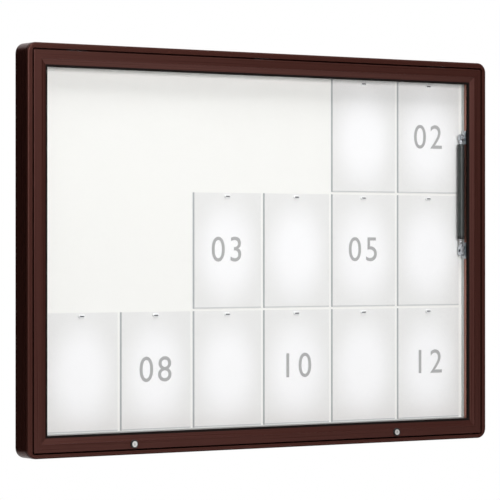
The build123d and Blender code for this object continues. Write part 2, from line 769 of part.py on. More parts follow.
# Bracket on the case's retainer, with the stud that the rod's eye pushes against
arm_end = door_bracket_face - seal_clearance
arm_start = arm_end - bracket_plate
with BuildPart() as strut_case_bracket:
    arm_depths = (strut_depth - case_bracket_width / 2, board_front - fit_clearance - sheet_thickness)
    half_arm = case_bracket_height / 2
    arm_heights = (strut_lower_height - half_arm, strut_lower_height + half_arm)
    side_block(arm_start, arm_end, arm_depths, arm_heights)
    side_block(arm_end, case_bracket_face, (retainer_front, arm_depths[1]), arm_heights)
    stud_start = eye_start + eye_thickness + stud_clearance
    rod_across(stud_start, arm_start - stud_start, strut_depth, strut_lower_height, strut_pin_diameter)
    for height in case_bracket_screw_heights:
        screw_hole_across(arm_start, case_bracket_face - arm_start, case_bracket_screw_depth, height)
save(strut_case_bracket.part, "strut_case_bracket")


def bracket_screws(face, depth, heights):
    """Pan-head screws driven to the right, their heads in front of a face."""
    with BuildPart() as screws:
        for height in heights:
            rod_across(face - screw_head_height, screw_head_height, depth, height, screw_head_diameter)
            rod_across(face, screw_length, depth, height, screw_diameter)
    return screws.part


door_screws = bracket_screws(plate_start, door_bracket_screw_depth, door_bracket_screw_heights)
save(door_screws, "door_bracket_screws")
case_screws = bracket_screws(arm_start, case_bracket_screw_depth, case_bracket_screw_heights)
save(case_screws, "case_bracket_screws")

# Cam locks in the bottom rail: collar and housing, turning plug, cam, ring nut
plug_front = -collar_proud - plug_proud
plug_seat = plug_front + plug_face_thickness
for lock_place, lock_name in ((-lock_spread, "left"), (lock_spread, "right")):
    with BuildPart() as lock_housing:
        rod_inward(-collar_proud, 0, lock_place, lock_height, collar_diameter)
        chamfer(faces().sort_by(Axis.Y)[0].edges(), collar_chamfer)
        rod_inward(0, housing_rear, lock_place, lock_height, housing_diameter)
        face_hole = plug_face_diameter + 2 * running_clearance
        face_seat = plug_seat + running_clearance
        rod_inward(-collar_proud, face_seat, lock_place, lock_height, face_hole, mode=Mode.SUBTRACT)
        plug_hole = plug_diameter + 2 * running_clearance
        rod_inward(-collar_proud, housing_rear, lock_place, lock_height, plug_hole, mode=Mode.SUBTRACT)
    save(lock_housing.part, f"lock_{lock_name}_housing")

    with BuildPart() as lock_plug:
        rod_inward(plug_front, plug_seat, lock_place, lock_height, plug_face_diameter)
        rod_inward(plug_seat, cam_start, lock_place, lock_height, plug_diameter)
        block(cam_start, cam_end, cam_square, cam_square, lock_height, lock_place)
        rod_inward(cam_end, cam_end + tail_thickness, lock_place, lock_height, tail_diameter)
        block(
            plug_front,
            plug_front + keyway_depth,
            keyway_width,
            keyway_length,
            lock_height,
            lock_place,
            mode=Mode.SUBTRACT,
        )
    save(lock_plug.part, f"lock_{lock_name}_plug")

    with BuildPart() as lock_cam:
        with BuildSketch(facing_front(cam_end)) as cam_outline:
            with Locations((lock_place, lock_height)):
                Circle(cam_width / 2)
            with Locations((lock_place + cam_reach / 2, lock_height)):
                Rectangle(cam_reach, cam_width)
            with Locations((lock_place, lock_height)):
                cam_hole = cam_square + 2 * running_clearance
                Rectangle(cam_hole, cam_hole, mode=Mode.SUBTRACT)
        extrude(amount=cam_thickness)
    save(lock_cam.part, f"lock_{lock_name}_cam")

with BuildPart() as lock_nuts:
    for lock_place in (-lock_spread, lock_spread):
        nut_rear = door_front_wall + nut_thickness
        rod_inward(door_front_wall, nut_rear, lock_place, lock_height, nut_diameter)
        nut_hole = housing_diameter + 2 * hole_clearance
        rod_inward(door_front_wall, nut_rear, lock_place, lock_height, nut_hole, mode=Mode.SUBTRACT)
save(lock_nuts.part, "lock_nuts")
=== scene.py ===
import bpy
import numpy as np
from bpy.props import FloatProperty, FloatVectorProperty, IntProperty, PointerProperty
from mathutils import Matrix, Vector


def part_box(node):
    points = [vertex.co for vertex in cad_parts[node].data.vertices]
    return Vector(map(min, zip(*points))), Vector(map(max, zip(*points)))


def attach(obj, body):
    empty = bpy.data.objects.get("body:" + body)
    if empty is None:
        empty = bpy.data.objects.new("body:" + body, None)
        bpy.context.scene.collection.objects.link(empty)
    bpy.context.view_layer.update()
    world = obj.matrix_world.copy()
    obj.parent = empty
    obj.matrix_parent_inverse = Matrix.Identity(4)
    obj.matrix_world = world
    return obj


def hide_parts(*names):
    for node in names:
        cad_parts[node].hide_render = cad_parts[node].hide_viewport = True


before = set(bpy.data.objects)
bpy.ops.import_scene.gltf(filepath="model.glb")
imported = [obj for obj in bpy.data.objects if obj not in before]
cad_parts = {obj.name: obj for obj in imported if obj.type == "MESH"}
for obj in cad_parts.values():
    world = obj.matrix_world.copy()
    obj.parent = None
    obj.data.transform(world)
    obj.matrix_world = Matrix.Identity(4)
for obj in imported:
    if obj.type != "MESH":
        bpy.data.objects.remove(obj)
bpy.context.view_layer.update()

bl_info = {
    "name": "Notice board display case",
    "version": (1, 0, 0),
    "blender": (4, 5, 0),
    "location": "3D View > Sidebar > Display case",
    "description": "Finishes a wall display case: frame, glazing, board, sheets, fittings and stage",
    "category": "Object",
}

MM = 0.001
LEVEL = ("top", "bottom")
SIDES = ("left", "right")
HINGES = ("left", "centre", "right")

# The door's lip around the glass: width of its flat, thickness, and the bevel's rise for each step outwards
LIP_WIDTH = 2.5 * MM
LIP_THICKNESS = 1.5 * MM
BEVEL_SLOPE = 0.25


def linear(colour):
    """Linear red, green and blue of an sRGB hex colour such as "#442621"."""
    parts = np.array([int(colour[i:i + 2], 16) for i in (1, 3, 5)]) / 255
    return tuple(np.where(parts <= 0.04045, parts / 12.92, ((parts + 0.055) / 1.055) ** 2.4))


# The CAD node holds twelve sheets on a grid of rows and columns; each row starts at its own first column
SHEET_COLUMNS = 6
SHEET_ROWS = 3
SHEET_SIZE = (210 * MM, 297 * MM)
FIRST_COLUMNS = (4, 2, 0)
NUMBERED_SHEETS = {(0, 5): "02", (1, 2): "03", (1, 4): "05", (2, 1): "08", (2, 3): "10", (2, 5): "12"}
# Height of a figure as a share of the font's size
FIGURE_SHARE = 0.7

# Lamps: place, width and height, and the setting that holds the power
LAMPS = {
    "key_lamp": ((-0.3, -4.8, 1.2), (2.6, 2.0), "key_power"),
    "top_lamp": ((0.2, -1.0, 4.2), (3.4, 2.4), "fill_power"),
    "back_lamp": ((2.2, 3.6, 1.8), (2.4, 2.4), "back_power"),
}
# Panels that only reflections see: middle, and the ways from it to the middles of two edges
FLAGS = {
    "flag_front": ((2.5, -3.7, 0.15), (2.65, 1.79, 0), (0, 0, 1.35)),
    "flag_back_left": ((-1.9, 1.6, 0), (1.3, 0.8, 0), (0, 0, 1.5)),
    "flag_left": ((-2.6, -1.75, 0), (-0.9, 1.4, 0), (0, 0, 1.2)),
    "flag_right": ((3.475, 0.445, 0), (-1.675, 2.355, 0), (0, 0, 1.5)),
    "flag_above": ((0.9, -0.475, 1.5), (1.7, 0, 0), (0, 0.775, 0)),
    "flag_below": ((0.7, -0.3, -1.1), (1.5, 0, 0), (0, 0.6, 0)),
}
CARD_LOW = ((2.4, -2.9, -1.2), (1.7, 0, 0), (0, 0.8, 0))
SENSOR_WIDTH = 36
CLIP_END = 100
FLOOR_SIDES = 96


class FrameSettings(bpy.types.PropertyGroup):
    """Finish of the aluminium profiles."""

    brown: FloatVectorProperty(
        name="Door brown", description="Colour of the door's anodised profiles", subtype="COLOR",
        size=3, min=0, max=1, default=linear("#4C2923"))
    case_brown: FloatVectorProperty(
        name="Case brown", description="Colour of the case's anodised profiles", subtype="COLOR",
        size=3, min=0, max=1, default=linear("#472620"))
    # Painted light: the beads' lighter brown stands in for the reflection of the lit white board on their
    # faces
    bead_painted_reflection_brown: FloatVectorProperty(
        name="Bead brown", description="Colour of the thin beads behind the glass", subtype="COLOR",
        size=3, min=0, max=1, default=linear("#A27164"))
    die_line: FloatProperty(
        name="Die lines", description="Spacing of the faint lines along an extruded profile",
        unit="LENGTH", subtype="DISTANCE", default=3.0 * MM)


class BoardSettings(bpy.types.PropertyGroup):
    """Finish of the board and of what hangs on it."""

    board_white: FloatVectorProperty(
        name="Board", description="Colour of the coated steel board", subtype="COLOR",
        size=3, min=0, max=1, default=linear("#F8F8F5"))
    # Painted light on the sheets: the paper is white, the bright middle is a painted highlight
    sheet_glow_white: FloatVectorProperty(
        name="Sheet centre", description="Colour of a sheet's bright middle", subtype="COLOR",
        size=3, min=0, max=1, default=linear("#FEFEFF"))
    # Painted shade: the grey towards a sheet's corners stands for light, not for the paper's colour
    sheet_shade_grey: FloatVectorProperty(
        name="Sheet edge", description="Colour towards a sheet's corners", subtype="COLOR",
        size=3, min=0, max=1, default=linear("#EDEDEC"))
    ink: FloatVectorProperty(
        name="Ink", description="Colour of the printed numbers", subtype="COLOR",
        size=3, min=0, max=1, default=linear("#B2B2B2"))
    sheet_curl: FloatProperty(
        name="Curl", description="How far a sheet's lower corners stand off the board",
        unit="LENGTH", subtype="DISTANCE", default=0.4 * MM)
    sheet_thickness: FloatProperty(
        name="Thickness", description="Thickness of a sheet in its sleeve",
        unit="LENGTH", subtype="DISTANCE", default=0.6 * MM)
    number_height: FloatProperty(
        name="Number height", description="Height of the printed numbers",
        unit="LENGTH", subtype="DISTANCE", default=64 * MM)


class FittingSettings(bpy.types.PropertyGroup):
    """Sizes of the small fittings."""

    magnet_length: FloatProperty(
        name="Magnet length", description="Length of a magnet's oval cap",
        unit="LENGTH", subtype="DISTANCE", default=20 * MM)
    magnet_width: FloatProperty(
        name="Magnet width", description="Height of a magnet's oval cap",
        unit="LENGTH", subtype="DISTANCE", default=9 * MM)
    magnet_bar_length: FloatProperty(
        name="Bar length", description="Length of the dark bar in a magnet's cap",
        unit="LENGTH", subtype="DISTANCE", default=14 * MM)
    magnet_bar_width: FloatProperty(
        name="Bar width", description="Height of the dark bar in a magnet's cap",
        unit="LENGTH", subtype="DISTANCE", default=4 * MM)
    magnet_drop: FloatProperty(
        name="Magnet drop", description="How far a magnet's middle lies below its sheet's top",
        unit="LENGTH", subtype="DISTANCE", default=9 * MM)
    screw_facets: IntProperty(
        name="Screw facets", description="Sides of a screw's head", default=48, min=12, max=64)
    screw_head: FloatProperty(
        name="Screw head", description="Diameter of a screw's head",
        unit="LENGTH", subtype="DISTANCE", default=7 * MM)
    screw_head_height: FloatProperty(
        name="Screw head height", description="Height of a screw's head",
        unit="LENGTH", subtype="DISTANCE", default=1.5 * MM)
    screw_shank: FloatProperty(
        name="Screw shank", description="Diameter of a screw's shank",
        unit="LENGTH", subtype="DISTANCE", default=4 * MM)
    recess_depth: FloatProperty(
        name="Recess depth", description="Depth of the cross in a screw's head",
        unit="LENGTH", subtype="DISTANCE", default=0.9 * MM)
    recess_length: FloatProperty(
        name="Recess length", description="Length of each bar of the cross in a screw's head",
        unit="LENGTH", subtype="DISTANCE", default=4 * MM)
    recess_width: FloatProperty(
        name="Recess width", description="Width of each bar of the cross in a screw's head",
        unit="LENGTH", subtype="DISTANCE", default=1.1 * MM)
    gasket_bead: FloatProperty(
        name="Gasket bead", description="How far the gasket shows inside the door's opening",
        unit="LENGTH", subtype="DISTANCE", default=2.0 * MM)
    gasket_lap: FloatProperty(
        name="Gasket lap", description="How far the gasket laps over the door's lip and bevel",
        unit="LENGTH", subtype="DISTANCE", default=4.0 * MM)
    gasket_wall: FloatProperty(
        name="Gasket wall", description="Thickness of the gasket over the door's lip",
        unit="LENGTH", subtype="DISTANCE", default=0.7 * MM)
    cap_length: FloatProperty(
        name="Strut cap", description="Length of the plastic cap on the strut's lower end",
        unit="LENGTH", subtype="DISTANCE", default=8 * MM)
    cap_wall: FloatProperty(
        name="Strut cap wall", description="Wall of the plastic cap on the strut's lower end",
        unit="LENGTH", subtype="DISTANCE", default=0.4 * MM)


class StageSettings(bpy.types.PropertyGroup):
    """Camera, floor and light."""

    camera_place: FloatVectorProperty(
        name="Camera", description="Place of the camera", subtype="TRANSLATION",
        unit="LENGTH", size=3, default=(-4.0456, -5.9644, 0.0015))
    camera_turn: FloatProperty(
        name="Turn", description="Turn of the camera towards the right", subtype="ANGLE",
        unit="ROTATION", default=np.radians(34.015))
    lens: FloatProperty(
        name="Lens", description="Focal length on a 36 mm sensor", subtype="DISTANCE_CAMERA",
        unit="CAMERA", default=199.62)
    floor_height: FloatProperty(
        name="Floor", description="Height of the floor below the case's middle",
        unit="LENGTH", subtype="DISTANCE", default=-1.25)
    floor_radius: FloatProperty(
        name="Floor radius", description="Radius of the round floor",
        unit="LENGTH", subtype="DISTANCE", default=4.5)
    floor_glow: FloatProperty(
        name="Floor glow", description="Share of plain white in the floor below the case",
        default=0.25, min=0, max=1)
    ambient: FloatProperty(
        name="Ambient", description="Light from all around", default=0.12, min=0, max=1)
    key_power: FloatProperty(
        name="Key", description="Power of the large lamp in front", unit="POWER", default=150)
    fill_power: FloatProperty(
        name="Fill", description="Power of the lamp above", unit="POWER", default=200)
    card_glow: FloatProperty(
        name="Card", description="Brightness of the card that the door's top bevel mirrors",
        default=2.4, min=0, max=4)
    back_power: FloatProperty(
        name="Back", description="Power of the lamp behind", unit="POWER", default=90)


def add_node(tree, kind, inputs=None, **settings):
    """Adds a shader node; inputs maps a socket's name or number to a value or to another node's output."""
    made = tree.nodes.new(kind)
    for key, value in settings.items():
        setattr(made, key, value)
    for key, value in (inputs or {}).items():
        if isinstance(value, bpy.types.NodeSocket):
            tree.links.new(value, made.inputs[key])
        else:
            made.inputs[key].default_value = value
    return made


def new_material(name):
    """An empty node material with its output."""
    material = bpy.data.materials.new(name)
    material.use_nodes = True
    tree = material.node_tree
    tree.nodes.clear()
    output = tree.nodes.new("ShaderNodeOutputMaterial")
    return material, tree, output


def opaque(colour):
    """A colour with full alpha, for a colour socket."""
    return (*colour, 1.0)


def show(tree, output, shader):
    """Feeds the material's surface from a shader node's first output."""
    tree.links.new(shader.outputs[0], output.inputs["Surface"])


def varied_surface(name, colour, spread, grain, stretch, roughness, bump, **sockets):
    """A finish with the slight unevenness of a real one.

    Noise of a given grain, stretched along the piece's length, moves colour by a spread and roughness within
    a range, and lifts the surface by a bump given in metres. sockets are the shader's even values.
    """
    if name in bpy.data.materials:
        return bpy.data.materials[name]
    material, tree, output = new_material(name)
    place = add_node(tree, "ShaderNodeTexCoord")
    turned = add_node(tree, "ShaderNodeMapping", {0: place.outputs["Object"], "Scale": stretch})
    noise = add_node(
        tree, "ShaderNodeTexNoise",
        {0: turned.outputs[0], "Scale": 1 / grain, "Detail": 4.0, "Roughness": 0.55})
    dark = opaque(tuple(c * (1 - spread) for c in colour))
    light = opaque(tuple(min(1.0, c * (1 + spread)) for c in colour))
    tint = add_node(
        tree, "ShaderNodeMix", {0: noise.outputs[0], 6: dark, 7: light}, data_type="RGBA")
    rough = add_node(
        tree, "ShaderNodeMapRange",
        {0: noise.outputs[0], 1: 0.25, 2: 0.75, 3: roughness[0], 4: roughness[1]})
    lift = add_node(tree, "ShaderNodeBump", {"Height": noise.outputs[0], "Strength": 1.0, "Distance": bump})
    shader = add_node(
        tree, "ShaderNodeBsdfPrincipled",
        {"Base Color": tint.outputs[2], "Roughness": rough.outputs[0], "Normal": lift.outputs[0], **sockets})
    show(tree, output, shader)
    return material


def brown_anodised(colour, die_line, along, shade, metallic=0.5, gloss=0.3):
    """Colour-anodised aluminium extrusion: dyed satin oxide, deep brown, with faint die lines along it.

    Real die lines are about 0.3 mm apart; they are drawn ten times as coarse so that they show.
    """
    stretch = {"X": (0.004, 1.0, 1.0), "Z": (1.0, 1.0, 0.004)}[along]
    return varied_surface(
        f"{shade} anodised aluminium along {along}", colour, 0.10, die_line, stretch,
        (0.25, 0.33), 0.006 * MM, Metallic=metallic, **{"Specular IOR Level": gloss})


def natural_anodised():
    """Natural anodised aluminium strip: pale grey satin metal with fine drawn lines."""
    return varied_surface(
        "Natural anodised aluminium", linear("#BEC2C2"), 0.06, 2.0 * MM, (0.02, 1.0, 0.02),
        (0.34, 0.46), 0.004 * MM, Metallic=0.5)


def zinc_plate():
    """Zinc-plated pressed steel: bright, slightly clouded by the passivation."""
    return varied_surface(
        "Zinc-plated steel", linear("#B9BDC1"), 0.08, 9.0 * MM, (1.0, 1.0, 1.0),
        (0.30, 0.44), 0.002 * MM, Metallic=1.0)


def white_coat(settings):
    """Baked white enamel on steel sheet: near-white, half gloss, with a faint orange peel of 2 mm."""
    return varied_surface(
        "White enamelled steel", settings.board_white, 0.012, 2.0 * MM, (1.0, 1.0, 1.0),
        (0.36, 0.44), 0.003 * MM, Metallic=0.0, **{"Specular IOR Level": 0.4})


def strut_paint():
    """Stoved black paint on drawn steel tube: charcoal, satin, smooth."""
    return varied_surface(
        "Stoved black paint", linear("#353938"), 0.08, 6.0 * MM, (1.0, 1.0, 0.2),
        (0.34, 0.44), 0.004 * MM, Metallic=0.0, **{"Specular IOR Level": 0.4})


def hard_chrome():
    """Hard chrome on a ground rod: bright, with very fine rings from grinding."""
    return varied_surface(
        "Hard chrome", linear("#D4D6D8"), 0.03, 1.0 * MM, (0.1, 0.1, 1.0),
        (0.08, 0.16), 0.001 * MM, Metallic=1.0)


def nickel_plate(face):
    """Satin nickel on a cast lock plug: warm silver, lightly brushed; the key slot is painted near-black as
    shade.

    face is where the plug's face lies along Y; the slot is the part from its mouth to its end behind that,
    where the colour is painted shade.
    """
    material = varied_surface(
        "Satin nickel", linear("#D2D2D0"), 0.06, 1.2 * MM, (1.0, 1.0, 0.1),
        (0.42, 0.55), 0.003 * MM, Metallic=1.0)
    tree = material.node_tree
    shader = tree.nodes["Principled BSDF"]
    plated = shader.inputs["Base Color"].links[0].from_socket
    # Painted shade: from just behind the face to the slot's end the colour is near-black, for the shade in
    # the recess
    shade_start, end = face + 0.9 * MM, face + 7.2 * MM
    place = add_node(tree, "ShaderNodeTexCoord")
    split = add_node(tree, "ShaderNodeSeparateXYZ", {0: place.outputs["Object"]})
    inside = add_node(
        tree, "ShaderNodeMath",
        {0: split.outputs[1], 1: (shade_start + end) / 2, 2: (end - shade_start) / 2}, operation="COMPARE")
    # Painted shade in the key slot, near-black over the plated colour
    colour = add_node(
        tree, "ShaderNodeMix",
        {0: inside.outputs[0], 6: plated, 7: opaque(linear("#0E0E0E"))}, data_type="RGBA")
    tree.links.new(colour.outputs[2], shader.inputs["Base Color"])
    return material


def black_chromate():
    """Black chromated cast zinc: near-black, satin."""
    return varied_surface(
        "Black chromated zinc", linear("#161414"), 0.15, 3.0 * MM, (1.0, 1.0, 1.0),
        (0.38, 0.52), 0.006 * MM, Metallic=0.0, **{"Specular IOR Level": 0.4})


def black_nylon():
    """Moulded black nylon: dark, half matt, with a faint grain."""
    return varied_surface(
        "Black nylon", linear("#1D1F1F"), 0.12, 2.0 * MM, (1.0, 1.0, 1.0),
        (0.40, 0.52), 0.006 * MM, Metallic=0.0, **{"Specular IOR Level": 0.4})


def door_rubber():
    """Extruded EPDM rubber: black with a warm bloom, matt."""
    return varied_surface(
        "EPDM rubber", linear("#140D0B"), 0.25, 5.0 * MM, (1.0, 1.0, 1.0),
        (0.62, 0.80), 0.010 * MM, Metallic=0.0, **{"Specular IOR Level": 0.08})


def white_abs():
    """Moulded ABS: clean white, glossy, with a hint of sink texture."""
    return varied_surface(
        "White ABS", linear("#F1F2F2"), 0.02, 4.0 * MM, (1.0, 1.0, 1.0),
        (0.14, 0.24), 0.003 * MM, Metallic=0.0)


def ferrite():
    """Pressed ferrite: dark grey ceramic magnet, dull."""
    return varied_surface(
        "Ferrite", linear("#4A4C50"), 0.15, 1.5 * MM, (1.0, 1.0, 1.0),
        (0.45, 0.65), 0.010 * MM, Metallic=0.0)


def print_ink(settings):
    """Printing ink on paper: flat grey with slight mottling."""
    return varied_surface(
        "Grey printing ink", settings.ink, 0.03, 6.0 * MM, (1.0, 1.0, 1.0),
        (0.55, 0.70), 0.001 * MM, Metallic=0.0, **{"Specular IOR Level": 0.2})


def float_glass():
    """Clear float glass: mirrors by Fresnel and lets the rest straight through, so lamps reach the board."""
    material, tree, output = new_material("Float glass")
    # Only the face that a ray meets first mirrors; the far face lets it out, as light isn't bent here
    fresnel = add_node(tree, "ShaderNodeFresnel", {"IOR": 1.5})
    side = add_node(tree, "ShaderNodeNewGeometry")
    share = add_node(
        tree, "ShaderNodeMapRange", {0: side.outputs["Backfacing"], 3: fresnel.outputs[0], 4: 0.0})
    clear = add_node(tree, "ShaderNodeBsdfTransparent", {"Color": opaque(linear("#FFFFFF"))})
    mirror = add_node(tree, "ShaderNodeBsdfGlossy", {"Color": opaque(linear("#FFFFFF")), "Roughness": 0.0})
    mixed = add_node(
        tree, "ShaderNodeMixShader", {0: share.outputs[0], 1: clear.outputs[0], 2: mirror.outputs[0]})
    show(tree, output, mixed)
    return material


def sleeved_paper(settings):
    """White paper in a clear sleeve: glossy, with a painted highlight in the middle and painted shade at the
    corners.

    A painted shadow line in grey runs along the left edge, and a fainter one along the bottom edge.
    The piece's UV map runs from 0 to 1 over each sheet. The painted shade follows the distance from the
    middle, counted in half widths and half heights; the shadow line is where U or V is under the line's share
    of the sheet.
    """
    material, tree, output = new_material("Paper in a clear sleeve")
    # Widths of the painted shadow lines along a sheet's left and bottom edges, and the bottom line's share of
    # full darkness
    side_shadow_line, foot_shadow_line, foot_shadow_strength = 5.0 * MM, 3.6 * MM, 0.5
    # Distances from the middle where the painted highlight starts to fade and where the painted shade is full
    glow_reach, shade_reach = 0.30, 1.18
    coordinates = add_node(tree, "ShaderNodeUVMap", uv_map="sheet")
    # The painted highlight is brightest a little below the sheet's middle
    centred = add_node(
        tree, "ShaderNodeMapping",
        {0: coordinates.outputs[0], "Location": (-1.0, -0.96, 0.0), "Scale": (2.0, 2.0, 0.0)})
    distance = add_node(tree, "ShaderNodeVectorMath", {0: centred.outputs[0]}, operation="LENGTH")
    shade = add_node(
        tree, "ShaderNodeMapRange", {0: distance.outputs["Value"], 1: glow_reach, 2: shade_reach},
        interpolation_type="SMOOTHSTEP")
    # Painted highlight in the middle, fading to painted shade at the corners
    paper = add_node(
        tree, "ShaderNodeMix",
        {0: shade.outputs[0], 6: opaque(settings.sheet_glow_white), 7: opaque(settings.sheet_shade_grey)},
        data_type="RGBA")
    split = add_node(tree, "ShaderNodeSeparateXYZ", {0: coordinates.outputs[0]})
    across = add_node(
        tree, "ShaderNodeMath", {0: split.outputs[0], 1: side_shadow_line / SHEET_SIZE[0]}, operation="LESS_THAN")
    below = add_node(
        tree, "ShaderNodeMath", {0: split.outputs[1], 1: foot_shadow_line / SHEET_SIZE[1]}, operation="LESS_THAN")
    faint = add_node(
        tree, "ShaderNodeMath", {0: below.outputs[0], 1: foot_shadow_strength}, operation="MULTIPLY")
    either = add_node(
        tree, "ShaderNodeMath", {0: across.outputs[0], 1: faint.outputs[0]}, operation="MAXIMUM")
    # Painted shadow: the grey lines along the left and bottom edges, laid over the paper's colour
    shadow_lined = add_node(
        tree, "ShaderNodeMix",
        {0: either.outputs[0], 6: paper.outputs[2], 7: opaque(linear("#B2B5B7"))}, data_type="RGBA")
    place = add_node(tree, "ShaderNodeTexCoord")
    fibre = add_node(
        tree, "ShaderNodeTexNoise", {0: place.outputs["Object"], "Scale": 1 / (3.0 * MM), "Detail": 3.0})
    lift = add_node(
        tree, "ShaderNodeBump", {"Height": fibre.outputs[0], "Strength": 1.0, "Distance": 0.004 * MM})
    rough = add_node(
        tree, "ShaderNodeMapRange", {0: fibre.outputs[0], 1: 0.25, 2: 0.75, 3: 0.24, 4: 0.34})
    shader = add_node(
        tree, "ShaderNodeBsdfPrincipled",
        {"Base Color": shadow_lined.outputs[2], "Roughness": rough.outputs[0], "Normal": lift.outputs[0],
         "Specular IOR Level": 0.35})
    show(tree, output, shader)
    return material


def finish_nodes(material, names):
    """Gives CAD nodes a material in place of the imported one."""
    for name in names:
        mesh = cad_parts[name].data
        mesh.materials.clear()
        mesh.materials.append(material)


def grid_faces(rows, columns, start=0):
    """Quads of a grid whose points run row by row; a normal is the row's direction times the column's."""
    corner = start + np.arange((rows - 1) * columns).reshape(rows - 1, columns)[:, :-1].ravel()
    return np.stack([corner, corner + 1, corner + columns + 1, corner + columns], axis=1)


def add_piece(name, points, faces, material, body, slot, smooth=True):
    """Puts points and faces into a new mesh object that rides on a body."""
    mesh = bpy.data.meshes.new(name)
    mesh.from_pydata(np.asarray(points).tolist(), [], [list(face) for face in faces])
    mesh.polygons.foreach_set("use_smooth", np.full(len(mesh.polygons), smooth))
    mesh.materials.append(material)
    mesh.update()
    piece = bpy.data.objects.new(name, mesh)
    bpy.context.scene.collection.objects.link(piece)
    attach(piece, body)
    return piece


def sheet_middles():
    """Middle of each sheet on the board as (row, column, across, height), rows from the top."""
    low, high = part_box("notice_sheets")
    across = np.linspace(low.x + SHEET_SIZE[0] / 2, high.x - SHEET_SIZE[0] / 2, SHEET_COLUMNS)
    heights = np.linspace(high.z - SHEET_SIZE[1] / 2, low.z + SHEET_SIZE[1] / 2, SHEET_ROWS)
    return [
        (row, column, across[column], heights[row])
        for row, first in enumerate(FIRST_COLUMNS)
        for column in range(first, SHEET_COLUMNS)
    ]


def sheet_lift(u, v, curl, twist):
    """How far a sheet stands off the board at shares u across and v up.

    The lower corners lift with the square of the way down from the magnet and the square of the way from the
    middle; twist favours one corner. Under the magnet the sheet lies flat.
    """
    down = (1 - v) ** 2
    out = (2 * u - 1) ** 2
    return curl * down * (0.25 + 0.75 * out * (1 + twist * (2 * u - 1)))


def oval_dome(length, width, rise, place):
    """Domed obround on a back plane, as points and faces: place is the middle of its back, the dome faces -Y.

    Around: an obround of the given length and width. Inward: the outline shrinks as the cosine of a quarter
    turn while the dome rises as its sine to the power 0.6, which gives steep sides and a flat top. The first
    ring is the rim on the back plane and is closed by one face; the last ring is closed by a face at the top.
    """
    around, inward = 40, 7
    turn = np.linspace(0, 2 * np.pi, around, endpoint=False)
    radius = width / 2
    middle = np.sign(np.cos(turn)) * (length / 2 - radius)
    outline = np.stack([middle + radius * np.cos(turn), radius * np.sin(turn)], axis=1)
    quarter = np.linspace(0, 0.46 * np.pi, inward)
    shrink = 1 - (1 - np.cos(quarter)) * radius / np.array([[length / 2], [radius]])
    across = outline[None, :, 0] * shrink[0][:, None]
    up = outline[None, :, 1] * shrink[1][:, None]
    forward = np.broadcast_to(rise * np.sin(quarter)[:, None] ** 0.6, across.shape)
    points = np.stack([place[0] + across, place[1] - forward, place[2] + up], axis=-1).reshape(-1, 3)
    step = np.arange(around)
    ring = np.stack([step, (step + 1) % around], axis=1)
    faces = [
        [row * around + a, row * around + b, (row + 1) * around + b, (row + 1) * around + a]
        for row in range(inward - 1) for a, b in ring.tolist()
    ]
    back = list(range(around))[::-1]
    top = list(range((inward - 1) * around, inward * around))
    return points, faces + [back, top]


def mitred_ring(outline, rear, inward, forward):
    """A rubber ring around an opening, as points and faces; outline is its left, right, bottom and top.

    Path: the four corners of the outline, joined by mitres. Profile: a closed line of points, each a way
    inwards from the outline and a way forwards from the rear plane, starting at the outline's rear.
    """
    left, right, bottom, top = outline
    corner_x, corner_z = np.array([left, right, right, left]), np.array([bottom, bottom, top, top])
    toward_x, toward_z = np.array([1, -1, -1, 1]), np.array([1, 1, -1, -1])
    across = corner_x[:, None] + np.outer(toward_x, inward)
    up = corner_z[:, None] + np.outer(toward_z, inward)
    deep = np.broadcast_to(rear - forward, across.shape)
    points = np.stack([across, deep, up], axis=-1).reshape(-1, 3)
    step = np.arange(4)[:, None] * len(inward) + np.arange(len(inward))
    around = np.roll(step, -1, axis=0)
    faces = np.stack(
        [step, around, np.roll(around, -1, axis=1), np.roll(step, -1, axis=1)], axis=-1).reshape(-1, 4)
    return points, faces


def lathe(radii, heights, around, middle):
    """A round body about an upright line: a ring of points for each radius and height of a closed outline."""
    turn = np.linspace(0, 2 * np.pi, around, endpoint=False)
    across = middle[0] + np.outer(radii, np.cos(turn))
    deep = middle[1] + np.outer(radii, np.sin(turn))
    high = middle[2] + np.repeat(np.asarray(heights)[:, None], around, axis=1)
    points = np.stack([across, deep, high], axis=-1).reshape(-1, 3)
    step = np.arange(len(radii))[:, None] * around + np.arange(around)
    below, beside = np.roll(step, -1, axis=0), np.roll(step, -1, axis=1)
    faces = np.stack([step, beside, np.roll(below, -1, axis=1), below], axis=-1).reshape(-1, 4)
    return points, faces


def find_screws(name, out, side=0):
    """Top of the head and length of each screw in a CAD node; out is the direction from shank to head.

    Corners that lie less than 10 mm apart across that direction belong to one screw. side keeps only the
    screws left (-1) or right (1) of the middle.
    """
    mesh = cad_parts[name].data
    corners = np.empty(3 * len(mesh.vertices))
    mesh.vertices.foreach_get("co", corners)
    corners = np.unique(np.round(corners.reshape(-1, 3), 4), axis=0)
    corners = corners[corners[:, 0] * side >= 0]
    out = np.array(out, float)
    along = corners @ out
    flat = corners - np.outer(along, out)
    first = (np.linalg.norm(flat[:, None] - flat[None], axis=2) < 10 * MM).argmax(axis=1)
    screws = []
    for label in np.unique(first):
        own = first == label
        middle = (flat[own].min(axis=0) + flat[own].max(axis=0)) / 2
        screws.append((middle + out * along[own].max(), np.ptp(along[own])))
    return screws


